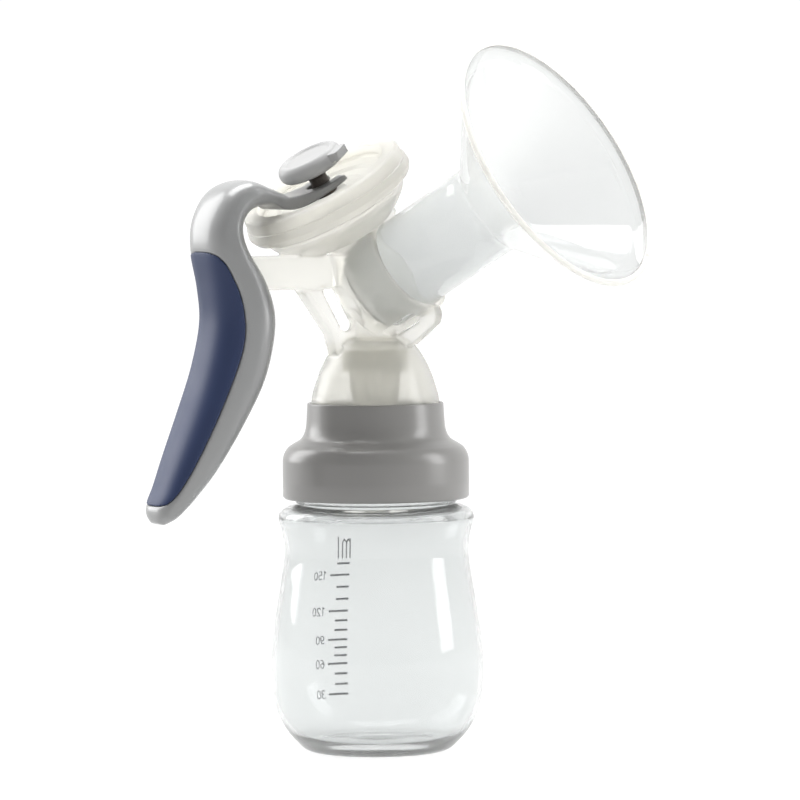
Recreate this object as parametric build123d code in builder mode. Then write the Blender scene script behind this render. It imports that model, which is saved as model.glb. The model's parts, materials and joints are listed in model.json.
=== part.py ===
"""Manual breast pump: feeding bottle, screw collar, pump head, suction diaphragm, squeeze handle and
breast shield.

Frame: origin at the centre of the bottle's base, +Z up, +X below the shield's axis, millimetres.
The bottle's axis, the shield's axis and the diaphragm's axis meet at one point, the hub.
"""
from math import cos, radians, sin
import os

from build123d import *

# Driving dimensions -------------------------------------------------------------------------------
HUB_Z = 150.0              # height where the three axes meet
SHIELD_RISE = 30.0         # shield axis above the horizontal, degrees
HANDLE_AZIMUTH = 241.7     # plan direction of the handle from +X, degrees
DISC_TILT = 30.0           # diaphragm axis from the vertical, towards the handle, degrees

BOTTLE_WALL = 1.4
MOUTH_Z = 93.5             # top of the bottle's neck
NECK_R = 25.4
NECK_BORE_R = 23.2

COLLAR_R = 30.0
COLLAR_BOTTOM_Z = 81.8
COLLAR_TOP_Z = 112.8
COLLAR_LEDGE_Z = 95.4
SKIRT_R = 20.6             # pump head's skirt, which turns in the collar
SKIRT_BOTTOM_Z = 91.5
BODY_WALL = 1.7

OUTLET_R = 7.8             # vertical outlet tube
OUTLET_BORE_R = 6.2
OUTLET_BOTTOM_Z = 123.8
VALVE_R = 10.5

SOCKET_R = 17.3            # socket that takes the shield's tube
SOCKET_MOUTH = 15.8        # distance of its mouth from the hub
TUBE_R = 15.1              # shield's tube
TUBE_FIT = 0.08            # radial clearance of the tube in the socket
TUBE_SEAT = 1.0            # distance of the tube's inner end from the hub
SHIELD_WALL = 1.7
THROAT = 51.5
RIM = 80.0                 # distance of the shield's rim from the hub
RIM_R = 44.6

CUP_FLOOR = 20.0           # distance of the cup's underside from the hub
CUP_RIM = 38.2
CUP_R = 25.2
CAP_TOP = 39.6             # top of the silicone cap's rim
CAP_R = 28.7
STEM_R = 3.0
KNOB_TOP = 48.9
KNOB_R = 11.0
TAB_TURN = -60.0           # of the knob's tab, from the side away from the handle

PIVOT_U = 50.5             # pivot in the handle's plane: distance from the bottle's axis
PIVOT_Z = 155.0
PIN_R = 2.4
PIN_FIT = 0.05             # radial clearance of the pin in the handle
PIN_LENGTH = 20.0
ARM_HALF_WIDTH = 6.5
ARM_R = 5.8                # rounded end of the arm, about the pivot
CHEEK_GAP = 0.4            # side clearance between the arm and the handle
INLAY_DEPTH = 1.8
HANDLE_WALL = 2.6
FORK_WIDTH = 16.4
FORK_SLOT = 6.8
FORK_TIP = 5.6             # prong length beyond the stem's axis
ARM_BOTTOM_Z = 149.6
ARM_TOP_Z = 160.4
WEB = 31.6                 # underside of the diaphragm's web at the stem
BOSS = 34.6                # top of the web's boss
STEM_TOP = 46.5
STEM_NECK_R = 2.0          # end of the stem, inside the knob
SEAL_BORE_R = 22.2
PART_FIT = 0.05            # clearance between the silicone parts and what they sit on
THROUGH = 20.0             # half length of cuts and blocks that pass right through

# Derived frames -----------------------------------------------------------------------------------
HUB = Vector(0, 0, HUB_Z)
UP = Vector(0, 0, 1)
OUT = Vector(cos(radians(HANDLE_AZIMUTH)), sin(radians(HANDLE_AZIMUTH)), 0)   # towards the handle
SIDE = OUT.cross(UP)                                                          # square to its plane
SHIELD_DIR = Vector(cos(radians(SHIELD_RISE)), 0, sin(radians(SHIELD_RISE)))
DISC_DIR = OUT * sin(radians(DISC_TILT)) + UP * cos(radians(DISC_TILT))
DISC_ACROSS = UP * sin(radians(DISC_TILT)) - OUT * cos(radians(DISC_TILT))    # away from the handle

SHIELD_AXIS = Axis(HUB, SHIELD_DIR)
DISC_AXIS = Axis(HUB, DISC_DIR)

handle_plane = Plane(origin=(0, 0, 0), x_dir=OUT, z_dir=SIDE)                 # local x out, y up
shield_section = Plane(origin=HUB, x_dir=SHIELD_DIR, z_dir=SHIELD_DIR.cross(UP))
disc_section = Plane(origin=HUB, x_dir=-DISC_ACROSS, z_dir=SIDE)              # local x radius, y along


def across_disc(distance):
    """Plane square to the diaphragm's axis, local x away from the handle."""
    return Plane(origin=HUB + DISC_DIR * distance, x_dir=DISC_ACROSS, z_dir=DISC_DIR)


def in_handle_plane(across, along):
    """Point of the handle's plane given in the diaphragm's directions, as (out, up)."""
    tilt = radians(DISC_TILT)
    return (along * sin(tilt) - across * cos(tilt), HUB_Z + along * cos(tilt) + across * sin(tilt))


# Bottle -------------------------------------------------------------------------------------------
side_curve = [(25.2, 2.4), (29.8, 7.7), (33.2, 15.5), (34.3, 27.0), (33.5, 38.6), (31.1, 54.1), (29.6, 64.4),
              (30.6, 71.5), (31.6, 75.0)]
with BuildPart() as bottle:
    with BuildSketch(Plane.XZ):
        with BuildLine():
            foot = Line((0, 0), (20.5, 0))
            side = Spline((20.5, 0), *side_curve, tangents=[(1, 0.25), (0.1, 1)])
            shoulder = Spline((31.6, 75.0), (30.4, 77.7), (26.6, 79.6), tangents=[(0.1, 1), (-1, 0.2)])
            Polyline((26.6, 79.6), (NECK_R, 79.9), (NECK_R, MOUTH_Z), (NECK_BORE_R, MOUTH_Z),
                     (NECK_BORE_R, 80.4))
            inner_shoulder = Spline((NECK_BORE_R, 80.4), (28.6, 76.5), (30.1, 74.6),
                                    tangents=[(0.3, -1), (0.1, -1)])
            Spline((30.1, 74.6), *[(r - BOTTLE_WALL, z) for r, z in side_curve[-2:1:-1]], (28.2, 8.2), (22.0, 3.6),
                   (0, 4.4), tangents=[(-0.3, -1), (-1, 0)])
            Line((0, 4.4), (0, 0))
        make_face()
    revolve(axis=Axis.Z)
    with BuildSketch(Plane.XZ):
        with Locations((NECK_R + 0.6, 80.9)):
            Rectangle(1.6, 0.9)
    revolve(axis=Axis.Z)
bottle.part.label = "bottle"

# Screw collar: wide ring over the neck, narrow ring round the pump head's skirt ----------------------
with BuildPart() as screw_collar:
    with BuildSketch(Plane.XZ):
        with BuildLine():
            Polyline((26.4, COLLAR_BOTTOM_Z), (29.4, COLLAR_BOTTOM_Z))
            RadiusArc((29.4, COLLAR_BOTTOM_Z), (COLLAR_R, COLLAR_BOTTOM_Z + 0.6), -0.6)
            Line((COLLAR_R, COLLAR_BOTTOM_Z + 0.6), (COLLAR_R, 94.8))
            Spline((COLLAR_R, 94.8), (28.7, 98.1), (25.2, 100.3), (23.0, 102.0), (22.3, 105.0),
                   tangents=[(0, 1), (-0.05, 1)])
            Polyline((22.3, 105.0), (21.9, COLLAR_TOP_Z - 0.4), (21.5, COLLAR_TOP_Z), (20.9, COLLAR_TOP_Z),
                     (20.9, COLLAR_LEDGE_Z), (26.4, COLLAR_LEDGE_Z), (26.4, COLLAR_BOTTOM_Z))
        make_face()
    revolve(axis=Axis.Z)
screw_collar.part.label = "screw_collar"

# Seal ring between the bottle's mouth and the collar's ledge -----------------------------------------
with BuildPart() as seal_ring:
    with BuildSketch(Plane.XY.offset(MOUTH_Z)):
        Circle(NECK_R)
        Circle(SEAL_BORE_R, mode=Mode.SUBTRACT)
    extrude(amount=COLLAR_LEDGE_Z - MOUTH_Z)
seal_ring.part.label = "seal_ring"

# Pump head: skirt, dome, outlet tube, shield socket, diaphragm cup, pivot arm and struts -------------
with BuildPart() as pump_body:
    # outer volumes
    with BuildSketch(Plane.XZ):
        with BuildLine():
            Polyline((0, SKIRT_BOTTOM_Z), (19.9, SKIRT_BOTTOM_Z), (SKIRT_R, SKIRT_BOTTOM_Z + 1.5),
                     (SKIRT_R, 113.4))
            Spline((SKIRT_R, 113.4), (19.5, 117.9), (17.7, 123.0), (15.6, 127.2), (13.0, 131.0), (10.2, 133.2),
                   (OUTLET_R, 133.8), tangents=[(-0.1, 1), (-1, 0.1)])
            Polyline((OUTLET_R, 133.8), (0, 133.8), (0, SKIRT_BOTTOM_Z))
        make_face()
    revolve(axis=Axis.Z)
    with BuildSketch(Plane.XZ):
        with Locations((SKIRT_R + 0.3, COLLAR_LEDGE_Z - 1.1)):
            Rectangle(1.2, 1.4)
    revolve(axis=Axis.Z)
    with BuildSketch(Plane.XY.offset(130.0)):
        Circle(OUTLET_R)
    extrude(amount=HUB_Z - 130.0)
    with BuildSketch(shield_section):
        Polygon((-9.0, 0), (-9.0, OUTLET_R), (-3.5, SOCKET_R), (SOCKET_MOUTH - 0.4, SOCKET_R),
                (SOCKET_MOUTH, SOCKET_R - 0.4), (SOCKET_MOUTH, 0), align=None)
    revolve(axis=SHIELD_AXIS)
    with BuildSketch(disc_section):
        with BuildLine():
            Polyline((0, 0), (OUTLET_R, 0), (OUTLET_R, CUP_FLOOR), (14.0, CUP_FLOOR))
            Spline((14.0, CUP_FLOOR), (18.8, 22.2), (22.6, 25.6), (24.2, 28.8), tangents=[(1, 0.05), (0.1, 1)])
            Polyline((24.2, 28.8), (CUP_R - 0.2, 29.2), (CUP_R, 30.0), (CUP_R, CUP_RIM), (0, CUP_RIM), (0, 0))
        make_face()
    revolve(axis=DISC_AXIS)
    # pivot arm, rounded about the pivot
    with BuildSketch(handle_plane):
        with Locations((0.5 * (14.0 + PIVOT_U), 0.5 * (ARM_BOTTOM_Z + ARM_TOP_Z))):
            Rectangle(PIVOT_U - 14.0, ARM_TOP_Z - ARM_BOTTOM_Z)
        with Locations((PIVOT_U, PIVOT_Z)):
            Circle(ARM_TOP_Z - PIVOT_Z)
    extrude(amount=ARM_HALF_WIDTH, both=True)
    # left post: web and edge band in the handle's plane
    with BuildSketch(handle_plane):
        Polygon((4.0, 150.0), (30.0, 150.0), (28.0, 149.6), (16.9, 134.5), (15.0, 128.6), (8.0, 128.6), (4.0, 134.0),
                align=None)
    extrude(amount=1.1, both=True)
    with BuildSketch(handle_plane):
        Polygon((30.5, 151.0), (28.3, 150.2), (17.4, 135.0), (15.4, 128.0), (12.6, 128.6), (15.0, 135.4),
                (26.2, 151.0), align=None)
    extrude(amount=3.2, both=True)
    # strut under the socket and lug between the socket and the cup
    with BuildSketch(Plane.XZ):
        Polygon((7.0, 132.2), (14.8, 131.2), (21.8, 136.6), (24.0, 138.6), (24.8, 141.2), (23.8, 144.0), (17.0, 146.0),
                (4.0, 140.0), align=None)
    extrude(amount=2.1, both=True)
    with BuildSketch(Plane.XZ):
        Polygon((0.5, 170.0), (6.2, 172.0), (6.8, 174.6), (4.6, 176.4), (0.5, 177.2), align=None)
    extrude(amount=3.2, both=True)
    # hollows
    with BuildSketch(Plane.XZ):
        with BuildLine():
            Polyline((0, SKIRT_BOTTOM_Z - 1), (SKIRT_R - BODY_WALL, SKIRT_BOTTOM_Z - 1),
                     (SKIRT_R - BODY_WALL, 113.0))
            Spline((SKIRT_R - BODY_WALL, 113.0), (17.8, 117.4), (16.0, 122.2), (14.0, 126.0), (12.0, 129.2),
                   (9.6, 131.4), (OUTLET_R, 132.0), tangents=[(-0.1, 1), (-1, 0.1)])
            Polyline((OUTLET_R, 132.0), (0, 132.0), (0, SKIRT_BOTTOM_Z - 1))
        make_face()
    revolve(axis=Axis.Z, mode=Mode.SUBTRACT)
    with BuildSketch(Plane.XY.offset(OUTLET_BOTTOM_Z)):
        Circle(OUTLET_R)
    extrude(amount=133.0 - OUTLET_BOTTOM_Z)
    with BuildSketch(Plane.XY.offset(OUTLET_BOTTOM_Z - 1)):
        Circle(OUTLET_BORE_R)
    extrude(amount=HUB_Z - OUTLET_BOTTOM_Z + 1, mode=Mode.SUBTRACT)
    with BuildSketch(shield_section):
        Polygon((-6.0, 0), (-6.0, OUTLET_BORE_R), (TUBE_SEAT - 1.0, 13.2), (TUBE_SEAT, 13.2),
                (TUBE_SEAT, TUBE_R + TUBE_FIT), (SOCKET_MOUTH + 1, TUBE_R + TUBE_FIT), (SOCKET_MOUTH + 1, 0),
                align=None)
    revolve(axis=SHIELD_AXIS, mode=Mode.SUBTRACT)
    with BuildSketch(disc_section):
        with BuildLine():
            Polyline((0, 5.0), (OUTLET_BORE_R - 1.2, 5.0), (OUTLET_BORE_R - 1.2, CUP_FLOOR + BODY_WALL),
                     (14.0, CUP_FLOOR + BODY_WALL))
            Spline((14.0, CUP_FLOOR + BODY_WALL), (17.8, 23.8), (21.2, 26.8), (22.4, 29.2),
                   tangents=[(1, 0.05), (0.1, 1)])
            Polyline((22.4, 29.2), (CUP_R - BODY_WALL, 30.4), (CUP_R - BODY_WALL, CUP_RIM + 1),
                     (0, CUP_RIM + 1), (0, 5.0))
        make_face()
    revolve(axis=DISC_AXIS, mode=Mode.SUBTRACT)
    # slots through the post and the strut, pin hole
    with BuildSketch(Plane(origin=OUT * 13.9 + UP * 143.2, x_dir=OUT * 0.49 + UP * 0.872, z_dir=SIDE)):
        SlotCenterToCenter(12.4, 4.1)
    extrude(amount=THROUGH, both=True, mode=Mode.SUBTRACT)
    with BuildSketch(Plane(origin=(12.6, 0, 138.2), x_dir=(0.88, 0, 0.475), z_dir=(0, -1, 0))):
        SlotCenterToCenter(8.6, 3.6)
    extrude(amount=6, both=True, mode=Mode.SUBTRACT)
    with BuildSketch(handle_plane):
        with Locations((PIVOT_U, PIVOT_Z)):
            Circle(PIN_R)
    extrude(amount=THROUGH, both=True, mode=Mode.SUBTRACT)
pump_body.part.label = "pump_body"

# Duckbill valve on the end of the outlet tube --------------------------------------------------------
with BuildPart() as duckbill_valve:
    with BuildSketch(Plane.XY.offset(122.6)):
        Circle(VALVE_R)
    extrude(amount=6.8)
    with BuildSketch(Plane.XY.offset(117.0)):
        Circle(8.2)
    extrude(amount=5.6)
    with BuildSketch(Plane.XY.offset(117.0)):
        Circle(8.2)
    with BuildSketch(Plane.XY.offset(104.0)):
        SlotOverall(15.6, 2.4)
    loft()
    with BuildSketch(Plane.XY.offset(OUTLET_BOTTOM_Z)):
        Circle(OUTLET_R)
    extrude(amount=8, mode=Mode.SUBTRACT)
    with BuildSketch(Plane.XY.offset(116.9)):
        Circle(6.6)
    extrude(amount=8, mode=Mode.SUBTRACT)
    with BuildSketch(Plane.XY.offset(116.9)):
        Circle(6.6)
    with BuildSketch(Plane.XY.offset(103.0)):
        SlotOverall(12.6, 0.4)
    loft(mode=Mode.SUBTRACT)
duckbill_valve.part.label = "duckbill_valve"

# Breast shield: push-in tube and flared cone with a rolled rim ----------------------------------------
with BuildPart() as breast_shield:
    with BuildSketch(shield_section):
        with BuildLine():
            outer = FilletPolyline((TUBE_SEAT, TUBE_R), (THROAT, TUBE_R), (75.3, 39.0), (RIM - 0.3, RIM_R - 0.6),
                                   radius=7.5)
            offset(amount=SHIELD_WALL, side=Side.RIGHT)
        make_face()
    revolve(axis=SHIELD_AXIS)
    with BuildSketch(shield_section):
        with Locations((RIM - 1.0, RIM_R - 1.1)):
            Circle(1.1)
    revolve(axis=SHIELD_AXIS)
breast_shield.part.label = "breast_shield"

# Diaphragm: silicone cap over the cup's rim with a ridged web down to the stem -----------------------
with BuildPart() as diaphragm:
    with BuildSketch(disc_section):
        with BuildLine():
            FilletPolyline((CUP_R + PART_FIT, 29.9), (27.6, 30.6), (CAP_R, 33.0), (27.5, CAP_TOP - 0.2), (26.4, CAP_TOP),
                           (22.0, CAP_TOP), (20.4, 36.2), (17.0, 35.4), (15.8, 34.4), (12.6, 34.1), (11.4, 33.2),
                           (8.0, 33.0), (6.6, BOSS), (STEM_R + PART_FIT, BOSS), radius=0.4)
            Polyline((STEM_R + PART_FIT, BOSS), (STEM_R + PART_FIT, WEB), (11.0, WEB + 0.2), (12.2, 32.7), (15.2, 33.0),
                     (16.6, 34.0), (21.2, 34.8), (CUP_R - BODY_WALL - 0.3, CUP_RIM),
                     (CUP_R - BODY_WALL - 0.3, CUP_RIM + PART_FIT), (CUP_R + PART_FIT, CUP_RIM + PART_FIT),
                     (CUP_R + PART_FIT, 29.9))
        make_face()
    revolve(axis=DISC_AXIS)
diaphragm.part.label = "diaphragm"

# Stem: clamp disc under the web and a neck for the handle's fork --------------------------------------
with BuildPart() as stem:
    with BuildSketch(disc_section):
        Polygon((0, WEB - 2.2), (7.2, WEB - 2.2), (8.0, WEB - 1.4), (8.0, WEB - PART_FIT), (STEM_R, WEB - PART_FIT),
                (STEM_R, BOSS + PART_FIT), (4.0, BOSS + PART_FIT), (4.0, 35.5), (STEM_R, 36.0), (STEM_R, 41.4),
                (4.6, 42.85), (STEM_NECK_R, 42.85), (STEM_NECK_R, STEM_TOP), (0, STEM_TOP), align=None)
    revolve(axis=DISC_AXIS)
stem.part.label = "stem"

# Knob on top of the stem ------------------------------------------------------------------------------
with BuildPart() as knob:
    with BuildSketch(disc_section):
        with BuildLine():
            Polyline((STEM_NECK_R, STEM_TOP), (STEM_NECK_R, 42.9), (8.0, 42.9))
            Spline((8.0, 42.9), (10.2, 43.7), (KNOB_R, 45.6), (10.6, 47.4), (9.0, KNOB_TOP),
                   tangents=[(1, 0), (-1, 0.1)])
            Polyline((9.0, KNOB_TOP), (8.2, KNOB_TOP), (7.4, KNOB_TOP - 0.7), (0, KNOB_TOP - 0.9), (0, STEM_TOP),
                     (STEM_NECK_R, STEM_TOP))
        make_face()
    revolve(axis=DISC_AXIS)
    with BuildSketch(across_disc(44.9)):
        with PolarLocations(KNOB_R - 0.7, 1, start_angle=TAB_TURN):
            RectangleRounded(5.8, 7.6, 1.2)
    extrude(amount=3.0)
knob.part.label = "knob"

# Squeeze handle ---------------------------------------------------------------------------------------
# stations along the handle, tip to neck: outer edge (out, up), inner edge (out, up), width
stations = [((80.4, 76.7), (77.4, 75.7), 8.0),
            ((80.9, 79.8), (74.2, 77.9), 14.5),
            ((80.1, 83.6), (70.8, 81.0), 17.6),
            ((77.8, 88.4), (67.0, 84.9), 19.5),
            ((74.2, 97.5), (59.8, 93.4), 22.5),
            ((68.6, 111.5), (50.1, 108.1), 24.8),
            ((63.6, 125.5), (42.2, 122.8), 25.4),
            ((60.5, 139.5), (38.8, 139.5), 25.4),
            ((61.2, 151.0), (42.0, 151.8), 25.2),
            ((63.0, 162.0), (48.8, 162.6), 24.8),
            ((62.3, 172.3), (50.8, 168.8), 24.0),
            ((57.2, 181.4), (49.4, 172.8), 22.6),
            ((48.5, 184.9), (45.8, 175.4), 20.4),
            ((40.0, 182.3), (40.2, 176.7), 18.0),
            ((34.5, 180.2), (35.2, 176.0), 16.4)]


def section(station, inset, outer_inset):
    """Plane, thickness and width of one rounded section of the handle, moved in by the insets."""
    outer_edge, inner_edge, width = station
    far = OUT * outer_edge[0] + UP * outer_edge[1]
    near = OUT * inner_edge[0] + UP * inner_edge[1]
    across = (far - near).normalized()
    far = far - across * outer_inset
    near = near + across * inset
    plane = Plane(origin=(far + near) * 0.5, x_dir=across, z_dir=across.cross(SIDE))
    return plane, (far - near).length, width - 2 * inset


def loft_handle(chosen, inset=0.0, outer_inset=0.0):
    """Solid through the chosen stations."""
    with BuildPart() as solid:
        for station in chosen:
            plane, thickness, width = section(station, inset, outer_inset)
            with BuildSketch(plane):
                RectangleRounded(thickness, width, min(0.36 * thickness, 0.36 * width, 6.8))
        loft()
    return solid.part


grip = loft_handle(stations)
grip_core = loft_handle(stations[2:12], INLAY_DEPTH, INLAY_DEPTH)
grip_cavity = loft_handle(stations[3:9], HANDLE_WALL, -4.0)

with BuildPart() as inlay_region:
    with BuildSketch(handle_plane):
        with BuildLine():
            Spline((70.0, 164.2), (62.6, 162.2), (58.2, 156.4), (54.2, 147.6), (53.0, 138.0), (55.0, 128.0),
                   (61.6, 112.8), (68.6, 98.6), (74.2, 88.6), (78.0, 83.8), (84.0, 81.6),
                   tangents=[(-1, -0.1), (1, -0.1)])
            Polyline((84.0, 81.6), (90.0, 81.6), (90.0, 164.2), (70.0, 164.2))
        make_face()
    extrude(amount=THROUGH, both=True)

with BuildPart() as grip_inlay:
    add(grip)
    add(inlay_region.part, mode=Mode.INTERSECT)
    add(grip_core, mode=Mode.SUBTRACT)
grip_inlay.part.label = "grip_inlay"

fork_profile = [in_handle_plane(-21.0, 44.0), in_handle_plane(-12.1, 41.4), in_handle_plane(-8.6, 40.2),
                in_handle_plane(-3.0, 39.0), in_handle_plane(5.2, 38.8), in_handle_plane(5.6, 37.6),
                in_handle_plane(5.0, 36.7), in_handle_plane(-4.0, 36.6), in_handle_plane(-11.0, 37.8),
                in_handle_plane(-19.0, 41.0)]

with BuildPart() as fork:
    with BuildSketch(handle_plane):
        Polygon(*fork_profile, align=None)
    extrude(amount=FORK_WIDTH / 2, both=True)
    with BuildSketch(across_disc(30.0)):
        with Locations((FORK_TIP - THROUGH, 0)):
            RectangleRounded(2 * THROUGH, FORK_WIDTH, 4.0)
        with Locations((10.0, 0)):
            SlotCenterToCenter(23.0, FORK_SLOT, mode=Mode.SUBTRACT)
    extrude(amount=THROUGH, mode=Mode.INTERSECT)

with BuildPart() as hollow:
    add(grip_cavity)
    add(inlay_region.part, mode=Mode.INTERSECT)

with BuildPart() as handle:
    add(grip)
    add(fork.part)
    add(grip_inlay.part, mode=Mode.SUBTRACT)
    add(hollow.part, mode=Mode.SUBTRACT)
    with BuildSketch(handle_plane):
        with Locations((PIVOT_U - 10.0, PIVOT_Z - 2.5)):
            Rectangle(20.0, 18.5)
        with Locations((PIVOT_U, PIVOT_Z)):
            Circle(ARM_R + 0.9)
    extrude(amount=ARM_HALF_WIDTH + CHEEK_GAP, both=True, mode=Mode.SUBTRACT)
    with BuildSketch(handle_plane):
        with Locations((PIVOT_U, PIVOT_Z)):
            Circle(PIN_R + PIN_FIT)
    extrude(amount=PIN_LENGTH / 2 + 0.2, both=True, mode=Mode.SUBTRACT)
handle.part.label = "handle"

with BuildPart() as pivot_pin:
    with BuildSketch(handle_plane):
        with Locations((PIVOT_U, PIVOT_Z)):
            Circle(PIN_R)
    extrude(amount=PIN_LENGTH / 2, both=True)
pivot_pin.part.label = "pivot_pin"

# Export -----------------------------------------------------------------------------------------------
os.makedirs("parts", exist_ok=True)
for piece in (bottle, screw_collar, seal_ring, pump_body, duckbill_valve, breast_shield, diaphragm, stem, knob,
              handle, grip_inlay, pivot_pin):
    export_step(piece.part, f"parts/{piece.part.label}.step")
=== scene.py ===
"""Looks of the manual breast pump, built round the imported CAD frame. All lengths are metres."""
import json
from math import cos, pi, radians, sin, tan, tau

import bmesh
import bpy
from mathutils import Matrix, Vector


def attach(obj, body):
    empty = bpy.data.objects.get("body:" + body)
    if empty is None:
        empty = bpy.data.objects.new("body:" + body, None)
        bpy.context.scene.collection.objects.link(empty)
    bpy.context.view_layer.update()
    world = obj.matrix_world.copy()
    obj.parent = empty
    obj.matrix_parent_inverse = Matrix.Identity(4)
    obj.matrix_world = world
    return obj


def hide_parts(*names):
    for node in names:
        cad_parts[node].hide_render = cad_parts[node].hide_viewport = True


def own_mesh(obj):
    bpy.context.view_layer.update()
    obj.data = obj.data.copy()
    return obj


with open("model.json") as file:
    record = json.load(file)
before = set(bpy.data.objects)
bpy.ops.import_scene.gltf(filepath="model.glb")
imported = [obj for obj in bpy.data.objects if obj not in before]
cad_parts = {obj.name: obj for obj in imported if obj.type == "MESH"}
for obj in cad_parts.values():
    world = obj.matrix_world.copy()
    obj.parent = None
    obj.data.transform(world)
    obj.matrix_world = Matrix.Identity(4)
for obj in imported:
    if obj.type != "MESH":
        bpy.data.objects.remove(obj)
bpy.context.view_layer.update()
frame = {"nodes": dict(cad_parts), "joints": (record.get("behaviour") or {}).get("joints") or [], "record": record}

MM = 0.001

# Axes of the design, from the record's joints ------------------------------------------------------
joints = {joint["name"]: joint for joint in frame["joints"]}
UP = Vector((0, 0, 1))
SIDE = Vector(joints["handle_squeeze"]["axis"]).normalized()      # square to the handle's plane
PIVOT = Vector(joints["handle_squeeze"]["pos_m"])
OUT = SIDE.cross(UP)                                              # from the bottle's axis to the handle
SHIELD_DIR = Vector(joints["shield_pull"]["axis"]).normalized()
DISC_DIR = Vector(joints["stem_lift"]["axis"]).normalized()
DISC_ACROSS = DISC_DIR.cross(SIDE)                                # across the diaphragm, from the handle
HUB = Vector((0, 0, 150 * MM))                                    # where the three axes meet
BASE = Vector((0, 0, 0))


# Materials -----------------------------------------------------------------------------------------
def new_material(name, color, roughness, **sockets):
    """Principled material; sockets are set by name, with underscores for spaces."""
    material = bpy.data.materials.new(name)
    material.use_nodes = True
    shader = material.node_tree.nodes["Principled BSDF"]
    shader.inputs["Base Color"].default_value = (*color, 1.0)
    shader.inputs["Roughness"].default_value = roughness
    for key, value in sockets.items():
        shader.inputs[key.replace("_", " ")].default_value = value
    return material


def add_noise(material, scale, color_spread, roughness_low, roughness_high, bump=0.1):
    """Gives a material mottled colour, uneven roughness and a fine bump, all from object-space noise."""
    tree = material.node_tree
    nodes, links = tree.nodes, tree.links
    shader = nodes["Principled BSDF"]
    place = nodes.new("ShaderNodeTexCoord")
    wide = nodes.new("ShaderNodeTexNoise")
    wide.inputs["Scale"].default_value = scale
    wide.inputs["Detail"].default_value = 4.0
    links.new(place.outputs["Object"], wide.inputs["Vector"])
    tint = nodes.new("ShaderNodeMix")
    tint.data_type = "RGBA"
    base = shader.inputs["Base Color"].default_value[:]
    low = [max(0.0, channel * (1 - color_spread)) for channel in base[:3]]
    high = [min(1.0, channel * (1 + color_spread)) for channel in base[:3]]
    tint.inputs["A"].default_value = (*low, 1)
    tint.inputs["B"].default_value = (*high, 1)
    links.new(wide.outputs["Fac"], tint.inputs["Factor"])
    links.new(tint.outputs["Result"], shader.inputs["Base Color"])
    spread = nodes.new("ShaderNodeMapRange")
    spread.inputs["To Min"].default_value = roughness_low
    spread.inputs["To Max"].default_value = roughness_high
    links.new(wide.outputs["Fac"], spread.inputs["Value"])
    links.new(spread.outputs["Result"], shader.inputs["Roughness"])
    fine = nodes.new("ShaderNodeTexNoise")
    fine.inputs["Scale"].default_value = scale * 12
    fine.inputs["Detail"].default_value = 2.0
    links.new(place.outputs["Object"], fine.inputs["Vector"])
    bumps = nodes.new("ShaderNodeBump")
    bumps.inputs["Strength"].default_value = bump
    bumps.inputs["Distance"].default_value = 0.05 * MM
    links.new(fine.outputs["Fac"], bumps.inputs["Height"])
    links.new(bumps.outputs["Normal"], shader.inputs["Normal"])


def add_haze(material, share, density=0.0, absorbed=(0.5, 0.5, 0.5)):
    """Lets a share of the light through diffusely, as milky plastic does, and tints what passes inside."""
    nodes, links = material.node_tree.nodes, material.node_tree.links
    output = nodes["Material Output"]
    shader = nodes["Principled BSDF"]
    glow = nodes.new("ShaderNodeBsdfTranslucent")
    glow.inputs["Color"].default_value = (0.97, 0.965, 0.94, 1)
    both = nodes.new("ShaderNodeMixShader")
    both.inputs["Fac"].default_value = share
    links.new(shader.outputs["BSDF"], both.inputs[1])
    links.new(glow.outputs["BSDF"], both.inputs[2])
    links.new(both.outputs["Shader"], output.inputs["Surface"])
    if density > 0:
        inside = nodes.new("ShaderNodeVolumeAbsorption")
        inside.inputs["Color"].default_value = (*absorbed, 1)
        inside.inputs["Density"].default_value = density
        links.new(inside.outputs["Volume"], output.inputs["Volume"])


# Haze is a share of diffuse light, then the density and colour of what the plastic absorbs
clear_bottle = new_material("clear_bottle", (0.85, 0.865, 0.865), 0.05, Transmission_Weight=0.96, IOR=1.3)
add_noise(clear_bottle, 60, 0.008, 0.02, 0.07, bump=0.03)
add_haze(clear_bottle, 0.06, 14, (0.5, 0.53, 0.53))

clear_shield = new_material("clear_shield", (0.82, 0.835, 0.84), 0.05, Transmission_Weight=0.94, IOR=1.32)
add_noise(clear_shield, 60, 0.008, 0.02, 0.07, bump=0.03)
add_haze(clear_shield, 0.15, 24, (0.5, 0.54, 0.54))

milky_plastic = new_material("milky_plastic", (0.96, 0.955, 0.93), 0.3, Transmission_Weight=0.93, IOR=1.26)
add_noise(milky_plastic, 70, 0.01, 0.08, 0.16, bump=0.04)
add_haze(milky_plastic, 0.24, 14, (0.6, 0.58, 0.46))

silicone = new_material("silicone", (0.975, 0.967, 0.94), 0.4, Transmission_Weight=0.88, IOR=1.22)
add_noise(silicone, 90, 0.015, 0.16, 0.28, bump=0.06)
add_haze(silicone, 0.34, 8, (0.6, 0.57, 0.46))

rim_plastic = new_material("rim_plastic", (0.93, 0.92, 0.88), 0.35, Transmission_Weight=0.5, IOR=1.3)
add_noise(rim_plastic, 90, 0.015, 0.24, 0.36, bump=0.06)
add_haze(rim_plastic, 0.3)

grey_plastic = new_material("grey_plastic", (0.207, 0.203, 0.196), 0.3, Coat_Weight=0.2, Coat_Roughness=0.18)
add_noise(grey_plastic, 80, 0.03, 0.27, 0.38, bump=0.08)

light_plastic = new_material("light_plastic", (0.25, 0.253, 0.253), 0.28, Coat_Weight=0.25, Coat_Roughness=0.12)
add_noise(light_plastic, 80, 0.02, 0.26, 0.36, bump=0.06)

knob_plastic = new_material("knob_plastic", (0.36, 0.36, 0.36), 0.4, Specular_IOR_Level=0.2)
add_noise(knob_plastic, 80, 0.02, 0.36, 0.46, bump=0.06)

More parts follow.
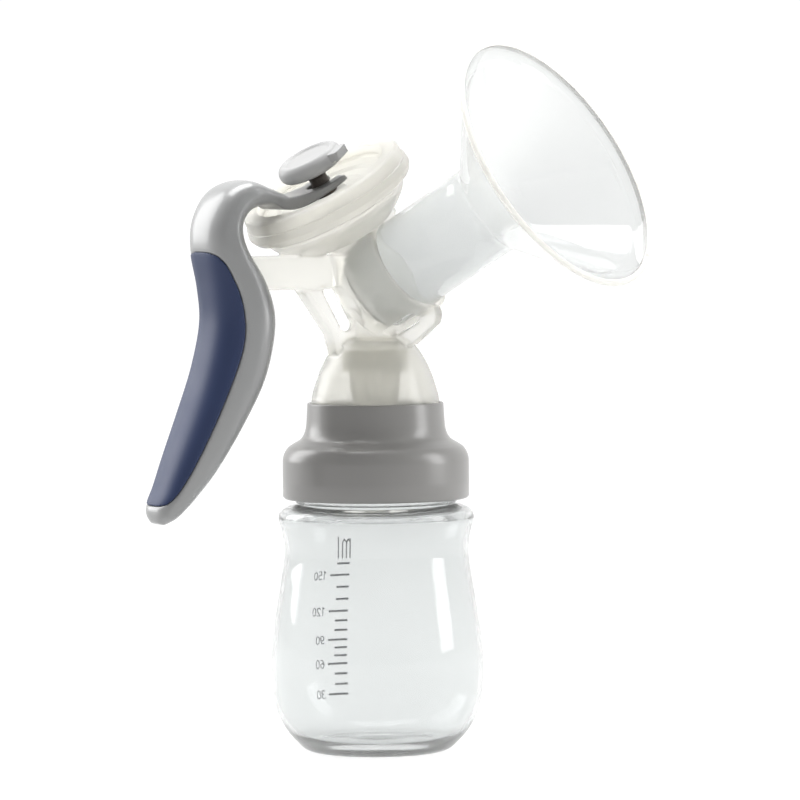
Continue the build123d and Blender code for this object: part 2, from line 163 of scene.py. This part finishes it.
blue_grip = new_material("blue_grip", (0.021, 0.034, 0.088), 0.5, Specular_IOR_Level=0.3)
add_noise(blue_grip, 120, 0.05, 0.44, 0.54, bump=0.12)

stem_plastic = new_material("stem_plastic", (0.07, 0.058, 0.048), 0.4)
add_noise(stem_plastic, 120, 0.05, 0.35, 0.45)

steel = new_material("steel", (0.62, 0.62, 0.62), 0.3, Metallic=1.0)
add_noise(steel, 200, 0.03, 0.22, 0.36)

print_ink = new_material("print_ink", (0.01, 0.013, 0.035), 0.5, Specular_IOR_Level=0.2)
add_noise(print_ink, 300, 0.1, 0.4, 0.6)

finishes = {"clear_bottle": clear_bottle, "clear_shield": clear_shield, "milky_plastic": milky_plastic,
            "silicone": silicone, "grey_plastic": grey_plastic, "light_plastic": light_plastic,
            "blue_grip": blue_grip, "stem_plastic": stem_plastic, "steel": steel}
slot_of = {part["node"]: part["material_slot"] for part in frame["record"]["subparts"]}
for node, obj in frame["nodes"].items():
    obj.data.materials.clear()
    obj.data.materials.append(finishes[slot_of[node]])
    obj.data.shade_smooth()


# Building helpers ----------------------------------------------------------------------------------
def fillet(points, radius, closed=True, steps=6):
    """Polyline with rounded corners; a point's third number is that corner's own radius."""
    result = []
    last = len(points) - 1
    for index, point in enumerate(points):
        here = Vector(point[:2])
        size = point[2] if len(point) > 2 else radius
        before = Vector(points[index - 1][:2]) - here
        after = Vector(points[(index + 1) % len(points)][:2]) - here
        open_end = not closed and index in (0, last)
        if open_end or size <= 0 or here.x == 0 or pi - before.angle(after) < 0.05:
            result.append(here)
            continue
        reach = min(size / tan(before.angle(after) / 2), 0.45 * before.length, 0.45 * after.length)
        start = here + before.normalized() * reach
        end = here + after.normalized() * reach
        result.append(start + before.normalized() * 0.05 * before.length)
        for step in range(steps + 1):
            share = step / steps
            result.append(start * (1 - share) ** 2 + here * 2 * share * (1 - share) + end * share ** 2)
        result.append(end + after.normalized() * 0.05 * after.length)
    return result


def through(points, steps=8):
    """Smooth Catmull-Rom curve through points, which may be tuples of any length."""
    padded = [points[0], *points, points[-1]]
    result = []
    for a, b, c, d in zip(padded, padded[1:], padded[2:], padded[3:]):
        for step in range(steps):
            t = step / steps
            result.append(tuple(0.5 * (2 * q + (r - p) * t + (2 * p - 5 * q + 4 * r - s) * t * t
                                       + (3 * q - p - 3 * r + s) * t ** 3)
                                for p, q, r, s in zip(a, b, c, d)))
    return result + [tuple(points[-1])]


def make_object(name, build, material):
    """Object from a bmesh, smooth shaded, with its normals facing out."""
    bmesh.ops.recalc_face_normals(build, faces=build.faces)
    mesh = bpy.data.meshes.new(name)
    build.to_mesh(mesh)
    build.free()
    mesh.shade_smooth()
    mesh.materials.append(material)
    obj = bpy.data.objects.new(name, mesh)
    bpy.context.scene.collection.objects.link(obj)
    return obj


def lathe(name, profile, material, axis=UP, origin=BASE, segments=176):
    """Surface of revolution from a closed profile of (radius, distance along the axis) in millimetres."""
    across = axis.orthogonal().normalized()
    third = axis.cross(across)
    turns = [across * cos(tau * k / segments) + third * sin(tau * k / segments) for k in range(segments)]
    build = bmesh.new()
    rings = []
    for radius, along in profile:
        centre = origin + axis * (along * MM)
        if radius < 1e-4:
            rings.append([build.verts.new(centre)])
        else:
            rings.append([build.verts.new(centre + turn * (radius * MM)) for turn in turns])
    for ring, following in zip(rings, rings[1:] + rings[:1]):
        for k in range(segments):
            n = (k + 1) % segments
            if len(ring) > 1 and len(following) > 1:
                build.faces.new((ring[k], ring[n], following[n], following[k]))
            elif len(ring) > 1:
                build.faces.new((ring[k], ring[n], following[0]))
            elif len(following) > 1:
                build.faces.new((ring[0], following[n], following[k]))
    return make_object(name, build, material)


def slab(name, outline, half_width, material, middle=0.0):
    """Block of an outline (out, up) in the handle's plane, in millimetres, thick square to it."""
    build = bmesh.new()
    faces = []
    for side in (-half_width, half_width):
        corners = [OUT * (u * MM) + UP * (z * MM) + SIDE * ((middle + side) * MM) for u, z in outline]
        faces.append([build.verts.new(corner) for corner in corners])
    build.faces.new(faces[0])
    build.faces.new(faces[1])
    for k in range(len(outline)):
        n = (k + 1) % len(outline)
        build.faces.new((faces[0][k], faces[0][n], faces[1][n], faces[1][k]))
    return make_object(name, build, material)


def disc_block(name, outline, low, high, material):
    """Block of an outline (across, side) square to the diaphragm's axis, between two heights along it."""
    build = bmesh.new()
    layers = [[build.verts.new(HUB + (DISC_DIR * t + DISC_ACROSS * q + SIDE * w) * MM) for q, w in outline]
              for t in (low, high)]
    build.faces.new(layers[0])
    build.faces.new(layers[1])
    for k in range(len(outline)):
        n = (k + 1) % len(outline)
        build.faces.new((layers[0][k], layers[0][n], layers[1][n], layers[1][k]))
    return make_object(name, build, material)


def join(obj, other):
    """Puts another object's volume into this one; the mould step then fuses them."""
    build = bmesh.new()
    build.from_mesh(obj.data)
    build.from_mesh(other.data)
    build.to_mesh(obj.data)
    build.free()
    bpy.data.objects.remove(other)


def combine(obj, other, operation):
    """Adds a boolean step and hides the helper it uses."""
    step = obj.modifiers.new(operation.lower(), "BOOLEAN")
    step.operation = operation
    step.solver = "EXACT"
    step.object = other
    bake(obj)
    bpy.data.objects.remove(other)


def bake(obj):
    """Turns an object's modifiers into its mesh."""
    bpy.context.view_layer.update()
    depsgraph = bpy.context.evaluated_depsgraph_get()
    mesh = bpy.data.meshes.new_from_object(obj.evaluated_get(depsgraph))
    obj.modifiers.clear()
    obj.data = mesh


def mould(obj, cell, smoothing):
    """Fuses an object's volumes into one even skin and rounds its corners as a moulding's are."""
    skin = obj.modifiers.new("skin", "REMESH")
    skin.mode = "VOXEL"
    skin.voxel_size = cell * MM
    soften = obj.modifiers.new("soften", "SMOOTH")
    soften.factor = 0.5
    soften.iterations = smoothing
    bake(obj)
    obj.data.shade_smooth()
    return obj


def in_handle_plane(across, along):
    """Point (out, up) in millimetres of the handle's plane, given in the diaphragm's directions."""
    tilt = radians(30)
    return (along * sin(tilt) - across * cos(tilt), 150 + along * cos(tilt) + across * sin(tilt))


def fit(piece, body, slot, *nodes):
    """Attaches a piece to the body that it rides on and hides the CAD nodes that it stands for. The slot is not
    used.
    """
    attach(piece, body)
    if nodes:
        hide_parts(*nodes)


# Bottle --------------------------------------------------------------------------------------------
side_points = [(20.4, 0.05), (22.8, 0.7), (25.2, 2.4), (29.8, 7.7), (33.2, 15.5), (34.25, 27.0), (33.5, 38.6),
               (31.1, 54.1), (29.6, 64.4), (30.5, 71.5), (31.5, 75.0), (31.0, 77.4), (28.9, 79.1), (26.7, 79.7)]
inner_points = [(23.35, 78.9), (24.6, 78.3), (26.9, 78.0), (28.8, 77.2), (29.9, 75.8), (30.1, 74.6),
                (29.1, 71.3), (28.2, 64.4), (29.7, 54.1), (32.1, 38.6), (32.8, 27.0), (31.8, 15.5),
                (28.3, 8.2), (24.0, 4.6), (19.0, 3.4), (10.0, 3.3), (4.5, 3.9), (0, 4.2)]
neck_points = [(25.5, 80.0), (25.5, 80.5), (26.0, 80.6), (26.0, 81.3), (25.4, 81.5), (25.3, 92.9), (24.9, 93.4),
               (23.7, 93.4), (23.3, 93.0), (23.3, 79.6)]
foot_points = [(0, 1.2), (9.0, 1.0), (15.5, 0.4), (18.4, 0.0)]
bottle_profile = (through(side_points, 7) + fillet(neck_points, 0.25, closed=False, steps=4)
                  + through(inner_points, 7) + through(foot_points, 5))
fit(lathe("bottle_shell", bottle_profile, clear_bottle), "bottle", "clear_bottle", "bottle")

# Seal and collar -----------------------------------------------------------------------------------
collar_outer = [(26.5, 81.8), (29.3, 81.8, 0.6), (30.0, 82.6, 0.6)]
collar_shoulder = [(30.0, 88.0), (30.0, 92.6), (29.9, 94.8), (29.3, 96.7), (28.2, 98.3), (26.6, 99.4),
                   (25.2, 100.2), (24.1, 101.0), (23.2, 102.3), (22.6, 104.0), (22.3, 106.0), (22.05, 110.0)]
collar_top = [(22.0, 111.0), (21.9, 112.6, 0.5), (21.0, 112.6, 0.3), (20.95, 111.8), (20.95, 95.6, 0.3),
              (26.4, 95.6, 0.4), (26.45, 82.4, 0.3)]
collar_profile = (fillet(collar_outer, 0.5, closed=False) + through(collar_shoulder, 5)
                  + fillet(collar_top, 0.4, closed=False))
fit(lathe("collar_shell", collar_profile, grey_plastic), "collar", "grey_plastic", "screw_collar")
seal_profile = fillet([(22.3, 93.55), (25.3, 93.55), (25.3, 95.35), (22.3, 95.35)], 0.35)
fit(lathe("seal", seal_profile, silicone), "collar", "silicone", "seal_ring")

# Pump head and valve: the solids' own skins, with rounded joins -------------------------------------
def skin_of(node, name, cell, smoothing):
    """Copy of a node's mesh, moulded."""
    solid = frame["nodes"][node]
    skin = bpy.data.objects.new(name, solid.data.copy())
    skin.matrix_world = solid.matrix_world
    bpy.context.scene.collection.objects.link(skin)
    return mould(skin, cell, smoothing)


fit(skin_of("pump_body", "pump_head", 0.42, 9), "head", "milky_plastic", "pump_body")
fit(skin_of("duckbill_valve", "valve", 0.3, 8), "head", "silicone", "duckbill_valve")

# Breast shield ---------------------------------------------------------------------------------------
WALL = 1.6
LIP_WALL = 1.2
LIP_R = 40.2                        # where the thinner lip of the rim starts
BEND = 8.5                          # radius where the tube opens and where the lip starts
flare = fillet([(15.05, 1.05), (15.05, 51.5, BEND), (39.0, 75.3, BEND), (43.6, 79.2)], 0.0, closed=False,
               steps=14)
lining = []
for before, point, after in zip(flare, flare[1:], flare[2:]):
    run = (after - before).normalized()
    wall = WALL if point.x < LIP_R else LIP_WALL
    lining.append(point + Vector((-run.y, run.x)) * wall)
bead = [Vector((43.4 + 1.1 * cos(turn), 78.95 + 1.05 * sin(turn)))
        for turn in [radians(angle) for angle in range(-20, 200, 20)]]
shield_profile = flare + bead + list(reversed(lining)) + [Vector((13.5, 1.3)), Vector((13.8, 1.05))]
shield = lathe("shield_shell", shield_profile, clear_shield, SHIELD_DIR, HUB, 224)
fit(shield, "shield", "clear_shield", "breast_shield")
shield.data.materials.append(rim_plastic)
for face in shield.data.polygons:
    from_hub = (face.center - HUB) / MM
    along = from_hub.dot(SHIELD_DIR)
    if along > 78.6 and (from_hub - SHIELD_DIR * along).length > 42.6:
        face.material_index = 1

# Diaphragm: cap over the cup's rim, and the web that the stem lifts ------------------------------------
cap_profile = fillet([(25.3, 29.95), (27.5, 30.6, 0.9), (28.6, 32.6, 1.0), (28.2, 35.2, 0.15),
                      (27.8, 35.4, 0.15), (27.35, 39.1, 0.9), (26.4, 39.58, 0.5), (22.3, 39.5, 0.8),
                      (21.2, 37.4, 0.4), (21.0, 36.6), (21.9, 36.6), (23.2, 38.2, 0.3), (25.3, 38.3, 0.2)], 0.3)
fit(lathe("diaphragm_cap", cap_profile, silicone, DISC_DIR, HUB), "head", "silicone")
web_profile = fillet([(21.5, 37.6, 0.3), (20.4, 36.2, 0.7), (17.4, 35.6, 0.5), (16.2, 34.5, 0.5),
                      (13.0, 34.2, 0.5), (11.6, 33.2, 0.5), (8.2, 33.0, 0.6), (6.8, 34.6, 0.6),
                      (3.1, 34.6, 0.2), (3.1, 31.7, 0.2), (10.9, 31.9, 0.5), (12.2, 32.8, 0.5),
                      (15.2, 33.1, 0.5), (16.8, 34.1, 0.5), (21.2, 35.0, 0.6), (22.3, 37.0, 0.3)], 0.3)
web = lathe("diaphragm_web", web_profile, silicone, DISC_DIR, HUB)
fit(web, "head", "silicone", "diaphragm")
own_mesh(web)

# Stem and knob ---------------------------------------------------------------------------------------
stem_profile = fillet([(0, 29.4), (7.3, 29.4, 0.5), (8.0, 30.2, 0.4), (8.0, 31.5, 0.2), (3.0, 31.5),
                       (3.0, 34.7), (4.0, 34.7, 0.2), (4.0, 35.5, 0.3), (3.0, 36.0, 0.3), (3.0, 41.2, 0.6),
                       (4.6, 42.8), (0, 42.8)], 0.2)
fit(lathe("stem_turned", stem_profile, stem_plastic, DISC_DIR, HUB, 96), "stem", "stem_plastic", "stem")

knob_profile = ([Vector((0, 42.95)), Vector((6.6, 42.95))]
                + through([(7.4, 42.95), (8.4, 43.05), (10.0, 43.7), (10.85, 45.0), (10.95, 46.2),
                           (10.6, 47.5), (9.8, 48.5), (9.1, 48.85), (8.5, 48.85)], 5)
                + fillet([(8.1, 48.6, 0.4), (7.5, 48.15, 0.4), (0, 48.0)], 0.4, closed=False))
knob = lathe("knob_turned", knob_profile, knob_plastic, DISC_DIR, HUB, 144)
TAB_TURN = radians(60)              # of the knob's tab, from the side away from the handle
TAB_END = 13.15                     # reach of the tab from the knob's axis
TAB_HALF_WIDTH = 3.75
tab_corners = [(5.5, -TAB_HALF_WIDTH), (TAB_END, -TAB_HALF_WIDTH), (TAB_END, TAB_HALF_WIDTH),
               (5.5, TAB_HALF_WIDTH)]
tab_outline = [(r * cos(TAB_TURN) - w * sin(TAB_TURN), r * sin(TAB_TURN) + w * cos(TAB_TURN))
               for r, w in fillet(tab_corners, 1.2)]
join(knob, disc_block("tab", tab_outline, 44.95, 47.85, knob_plastic))
mould(knob, 0.2, 5)
fit(knob, "stem", "light_plastic", "knob")

# Handle and its grip -----------------------------------------------------------------------------------
# stations from tip to neck: outer edge (out, up), inner edge (out, up), width
stations = [(80.2, 77.0, 77.4, 76.1, 7.0), (80.8, 79.8, 74.3, 78.0, 14.3),
            (80.0, 83.6, 70.9, 81.0, 17.5), (77.7, 88.4, 67.1, 84.9, 19.4),
            (74.1, 97.5, 59.9, 93.4, 22.4), (68.5, 111.5, 50.2, 108.1, 24.7),
            (63.5, 125.5, 42.4, 122.8, 25.2), (60.4, 139.5, 39.0, 139.5, 25.2),
            (61.1, 151.0, 42.1, 151.8, 25.0), (62.9, 162.0, 48.9, 162.6, 24.6),
            (62.2, 172.2, 50.9, 168.8, 23.8), (57.1, 181.3, 49.4, 172.9, 22.4),
            (48.5, 184.8, 45.8, 175.5, 20.2), (40.0, 182.2, 40.2, 176.3, 17.8),
            (34.5, 180.1, 35.2, 175.2, 16.2)]


def loft_handle(name, chosen, inset, material, sides=72, power=2.9):
    """Closed loft through handle stations, with rounded sections moved in by the inset."""
    build = bmesh.new()
    rings = []
    for out_far, up_far, out_near, up_near, width in through(chosen, 7):
        far = OUT * (out_far * MM) + UP * (up_far * MM)
        near = OUT * (out_near * MM) + UP * (up_near * MM)
        across = (far - near).normalized()
        half_thick = (far - near).length / 2 - inset * MM
        half_wide = (width / 2 - inset) * MM
        ring = []
        for k in range(sides):
            angle = tau * k / sides
            reach = 1 / (abs(cos(angle)) ** power + abs(sin(angle)) ** power) ** (1 / power)
            ring.append(build.verts.new((far + near) / 2 + across * (reach * cos(angle) * half_thick)
                                        + SIDE * (reach * sin(angle) * half_wide)))
        rings.append(ring)
    for ring, following in zip(rings, rings[1:]):
        for k in range(sides):
            n = (k + 1) % sides
            build.faces.new((ring[k], ring[n], following[n], following[k]))
    build.faces.new(rings[0])
    build.faces.new(rings[-1])
    return make_object(name, build, material)


GRIP_STATIONS = slice(2, 12)         # of the stations, those that the grip's core runs along
inlay_edge = [(72.0, 164.0), (67.0, 163.9), (63.4, 162.6), (60.6, 160.0), (58.0, 156.0), (54.4, 147.6),
              (53.1, 138.0), (55.1, 128.0), (61.6, 112.8), (68.6, 98.6), (74.2, 88.6), (77.4, 84.4),
              (80.0, 82.4), (84.0, 81.8)]


def inlay_region(name, shift):
    """Block on the outer side of the grip's edge line, with that line moved inwards by the shift."""
    line = through([(u - shift, z) for u, z in inlay_edge], 6)
    return slab(name, [(96.0, 80.0), (96.0, 165.0)] + line, 22.0, blue_grip)


grip = loft_handle("grip_inlay_skin", stations, 0.0, blue_grip)
combine(grip, inlay_region("region", 0.0), "INTERSECT")
combine(grip, loft_handle("core", stations[GRIP_STATIONS], 1.7, blue_grip), "DIFFERENCE")
mould(grip, 0.36, 6)
fit(grip, "handle", "blue_grip", "grip_inlay")

handle = loft_handle("handle_shell", stations, 0.12, light_plastic)
pocket = loft_handle("pocket", stations, -1.0, light_plastic)
combine(pocket, inlay_region("region", 0.22), "INTERSECT")
combine(pocket, loft_handle("core", stations[GRIP_STATIONS], 1.95, light_plastic), "DIFFERENCE")
combine(handle, pocket, "DIFFERENCE")

# fork under the knob, as (across, along) the diaphragm, with the slot that holds the stem
FORK_HALF_WIDTH = 8.1
fork_points = [(-21.0, 43.8), (-16.5, 42.9), (-12.1, 41.3), (-8.6, 40.1), (-3.0, 38.95), (1.5, 38.75),
               (5.0, 38.7), (5.5, 37.8), (4.8, 36.8), (-4.0, 36.5), (-11.0, 36.9), (-15.5, 38.0), (-19.2, 40.2)]
fork_outline = [in_handle_plane(q, t) for q, t in through(fork_points, 4)]
combine(handle, slab("fork", fork_outline, FORK_HALF_WIDTH, light_plastic), "UNION")
SLOT_R = 3.4
SLOT_END = -1.5                     # centre of the slot's round end
slot_cut = []
for k in range(9):
    turn = radians(90 + 180 * k / 8)
    slot_cut.append((SLOT_END + SLOT_R * cos(turn), SLOT_R * sin(turn)))
slot_cut += [(20.0, -SLOT_R), (20.0, SLOT_R)]
combine(handle, disc_block("slot_cut", slot_cut, 30.0, 50.0, light_plastic), "DIFFERENCE")

# room in the handle for the pump head's arm, round the pivot
ARM_R = 6.7
ARM_BELOW = 11.7                    # the room runs on below, so that the handle can swing
pivot_out = PIVOT.dot(OUT) / MM
pivot_up = PIVOT.z / MM
arm_slot = [(pivot_out - 20, pivot_up - ARM_BELOW), (pivot_out, pivot_up - ARM_BELOW)]
for angle in range(-80, 81, 16):
    arm_slot.append((pivot_out + ARM_R * cos(radians(angle)), pivot_up + ARM_R * sin(radians(angle))))
arm_slot += [(pivot_out, pivot_up + ARM_R), (pivot_out - 20, pivot_up + ARM_R)]
combine(handle, slab("arm_slot", arm_slot, 6.9, light_plastic), "DIFFERENCE")
mould(handle, 0.4, 10)
fit(handle, "handle", "light_plastic", "handle")

# Camera, lights and floor: helpers, then the camera -------------------------------------------------
def aim(obj, target, roll=0.0):
    """Turns an object so that its -Z looks at the target."""
    look = (Vector(target) - obj.location).to_track_quat("-Z", "Y")
    obj.rotation_mode = "QUATERNION"
    obj.rotation_quaternion = look @ Matrix.Rotation(roll, 3, "Z").to_quaternion()


def softbox(name, place, target, width, height, power):
    light = bpy.data.lights.new(name, "AREA")
    light.shape = "RECTANGLE"
    light.size, light.size_y = width, height
    light.energy = power
    obj = bpy.data.objects.new(name, light)
    bpy.context.scene.collection.objects.link(obj)
    obj.location = place
    aim(obj, target)


VIEW_AZIMUTH = radians(32.7)
VIEW_RISE = radians(2.8)
VIEW_DISTANCE = 1.8
FRAME_WIDTH = 0.2576                # what the picture's width spans at the bottle's axis
VIEW_CENTRE = Vector((0, 0, 0.1133))
view_right = Vector((cos(VIEW_AZIMUTH), sin(VIEW_AZIMUTH), 0))
view_away = Vector((-sin(VIEW_AZIMUTH), cos(VIEW_AZIMUTH), 0))
target = VIEW_CENTRE + view_right * 0.00795

camera_data = bpy.data.cameras.new("camera")
camera = bpy.data.objects.new("camera", camera_data)
bpy.context.scene.collection.objects.link(camera)
camera_data.sensor_width = 36.0
camera_data.lens = camera_data.sensor_width * VIEW_DISTANCE / FRAME_WIDTH
camera_data.clip_start, camera_data.clip_end = 0.05, 60.0
camera.location = target - view_away * (VIEW_DISTANCE * cos(VIEW_RISE)) + UP * (VIEW_DISTANCE * sin(VIEW_RISE))
aim(camera, target, radians(-0.45))
bpy.context.scene.camera = camera


# Printed scale on the bottle's far side: a mark each 10 ml --------------------------------------------
SCALE_TURN = radians(17.5)          # of the marks' ends, from straight behind
INK_LOW = 0.03                      # of the ink above the bottle's skin, in millimetres
INK_HIGH = 0.1
MARK_HALF_HEIGHT = 0.34
MARK_LONG = 7.0                     # of a numbered mark
MARK_SHORT = 4.5
DIGIT_START = 8.6                   # along the skin from the marks' ends
DIGIT_STEP = 1.85
DIGIT_WIDTH, DIGIT_HEIGHT, DIGIT_PEN = 1.3, 2.7, 0.3
UNIT_LOW = 60.6                     # foot of the letters over the scale
UNIT_HEIGHT, UNIT_PEN = 6.4, 0.4

outer_curve = through(side_points, 7)


def bottle_radius(z):
    """Outer radius of the bottle at a height, in millimetres."""
    for (r0, z0), (r1, z1) in zip(outer_curve, outer_curve[1:]):
        if z0 <= z <= z1:
            return r0 + (r1 - r0) * (z - z0) / (z1 - z0)
    raise ValueError("no height on the bottle's side")


# height by millilitres; the last one only spaces the marks over 150
NUMBERED = {30: 15.5, 60: 25.2, 90: 33.2, 120: 42.8, 150: 54.8, 180: 66.5}


def height_of(volume):
    """Height in millimetres of a volume's mark, evenly spaced between the numbered ones."""
    below = 30 * (volume // 30)
    share = (volume - below) / 30
    return NUMBERED[below] * (1 - share) + NUMBERED[below + 30] * share


def on_bottle(along, z, lift):
    """Point on the bottle's skin, along round it from the marks' ends and z up, in millimetres."""
    radius = bottle_radius(z)
    turn = SCALE_TURN + along / radius
    return (view_away * cos(turn) - view_right * sin(turn)) * ((radius + lift) * MM) + UP * (z * MM)


ink = bmesh.new()


def print_patch(start, end, low, high, steps=8):
    """Thin patch of ink that follows the bottle's skin."""
    rows = []
    for k in range(steps + 1):
        along = start + (end - start) * k / steps
        rows.append([ink.verts.new(on_bottle(along, z, lift))
                     for z, lift in ((low, INK_LOW), (low, INK_HIGH), (high, INK_HIGH), (high, INK_LOW))])
    for row, following in zip(rows, rows[1:]):
        for k in range(4):
            n = (k + 1) % 4
            ink.faces.new((row[k], row[n], following[n], following[k]))
    ink.faces.new(rows[0])
    ink.faces.new(rows[-1])


STROKES = {                         # pen strokes of each letter in a box one wide and one high
    "0": [[(0.5, 0), (0.1, 0.15), (0, 0.5), (0.1, 0.85), (0.5, 1), (0.9, 0.85), (1, 0.5), (0.9, 0.15),
           (0.5, 0)]],
    "1": [[(0.15, 0.8), (0.6, 1), (0.6, 0)]],
    "2": [[(0, 0.8), (0.4, 1), (0.9, 0.85), (0.9, 0.6), (0, 0), (1, 0)]],
    "3": [[(0, 0.9), (0.5, 1), (0.9, 0.8), (0.8, 0.58), (0.4, 0.53)],
          [(0.8, 0.5), (1, 0.25), (0.6, 0), (0, 0.08)]],
    "5": [[(0.9, 1), (0.1, 1), (0.05, 0.55), (0.6, 0.6), (1, 0.3), (0.6, 0), (0, 0.08)]],
    "6": [[(0.9, 0.95), (0.4, 0.95), (0, 0.5), (0.1, 0.1), (0.5, 0), (0.95, 0.15), (0.95, 0.45), (0.5, 0.6),
           (0, 0.4)]],
    "9": [[(0.1, 0.05), (0.6, 0.05), (1, 0.5), (0.9, 0.9), (0.5, 1), (0.05, 0.85), (0.05, 0.55), (0.5, 0.4),
           (1, 0.6)]],
    "m": [[(0, 0), (0, 0.9)], [(0, 0.75), (0.25, 0.9), (0.48, 0.75), (0.48, 0)],
          [(0.48, 0.75), (0.77, 0.9), (1, 0.75), (1, 0)]],
    "l": [[(0.2, 0), (0.2, 1)]],
}


def print_letter(letter, start, low, width, height, pen):
    """Ink letter made of straight strokes that follow the bottle's skin."""
    for stroke in STROKES[letter]:
        points = [Vector((start + x * width, low + y * height)) for x, y in stroke]
        for begin, end in zip(points, points[1:]):
            run = (end - begin).normalized() * (pen / 2)
            aside = Vector((-run.y, run.x))
            corners = [begin - run - aside, end + run - aside, end + run + aside, begin - run + aside]
            below = [ink.verts.new(on_bottle(corner.x, corner.y, INK_LOW)) for corner in corners]
            above = [ink.verts.new(on_bottle(corner.x, corner.y, INK_HIGH)) for corner in corners]
            ink.faces.new(below)
            ink.faces.new(above)
            for k in range(4):
                n = (k + 1) % 4
                ink.faces.new((below[k], below[n], above[n], above[k]))


for millilitres in range(30, 161, 10):
    level = height_of(millilitres)
    numbered = millilitres % 30 == 0
    length = MARK_LONG if numbered else MARK_SHORT
    print_patch(0.0, length, level - MARK_HALF_HEIGHT, level + MARK_HALF_HEIGHT)
    if numbered:
        for place_in_word, digit in enumerate(str(millilitres)):
            start = DIGIT_START + DIGIT_STEP * place_in_word
            print_letter(digit, start, level - 1.3, DIGIT_WIDTH, DIGIT_HEIGHT, DIGIT_PEN)
print_letter("m", 0.0, UNIT_LOW, 2.7, UNIT_HEIGHT, UNIT_PEN)
print_letter("l", 4.0, UNIT_LOW, 1.0, UNIT_HEIGHT, UNIT_PEN)
scale = make_object("printed_scale", ink, print_ink)
scale.data.shade_flat()
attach(scale, "bottle")


def place(right, away, up):
    """Point given in the picture's plan directions."""
    return view_right * right + view_away * away + UP * up


# Floor, studio light and softboxes ------------------------------------------------------------------
bpy.ops.mesh.primitive_circle_add(vertices=96, radius=20.0, fill_type="NGON")
floor = bpy.context.object
floor.name = "floor"
floor_paint = new_material("floor", (0.16, 0.16, 0.16), 0.8, Specular_IOR_Level=0.1,
                           Emission_Color=(1, 1, 1, 1), Emission_Strength=0.9)
add_noise(floor_paint, 4, 0.01, 0.7, 0.85, bump=0.02)
floor.data.materials.append(floor_paint)

world = bpy.data.worlds.new("studio")
bpy.context.scene.world = world
world.use_nodes = True
nodes, links = world.node_tree.nodes, world.node_tree.links
direction = nodes.new("ShaderNodeTexCoord")
behind = nodes.new("ShaderNodeVectorMath")
behind.operation = "DOT_PRODUCT"
behind.inputs[1].default_value = view_away
links.new(direction.outputs["Generated"], behind.inputs[0])
glow = nodes.new("ShaderNodeMapRange")
glow.interpolation_type = "SMOOTHSTEP"
glow.inputs["From Min"].default_value = -0.7
glow.inputs["From Max"].default_value = 0.85
glow.inputs["To Min"].default_value = 0.42
glow.inputs["To Max"].default_value = 1.04
links.new(behind.outputs["Value"], glow.inputs["Value"])
links.new(glow.outputs["Result"], nodes["Background"].inputs["Strength"])
nodes["Background"].inputs["Color"].default_value = (1, 1, 1, 1)

softbox("left_softbox", place(-0.8, 0.45, 0.5), (0, 0, 0.12), 0.5, 0.8, 6)
softbox("top_softbox", place(-0.1, 0.15, 1.0), (0, 0, 0.12), 0.8, 0.6, 13)
softbox("right_softbox", place(0.8, -0.1, 0.4), (0, 0, 0.12), 0.3, 0.7, 4.5)

bpy.context.scene.view_settings.view_transform = "Standard"
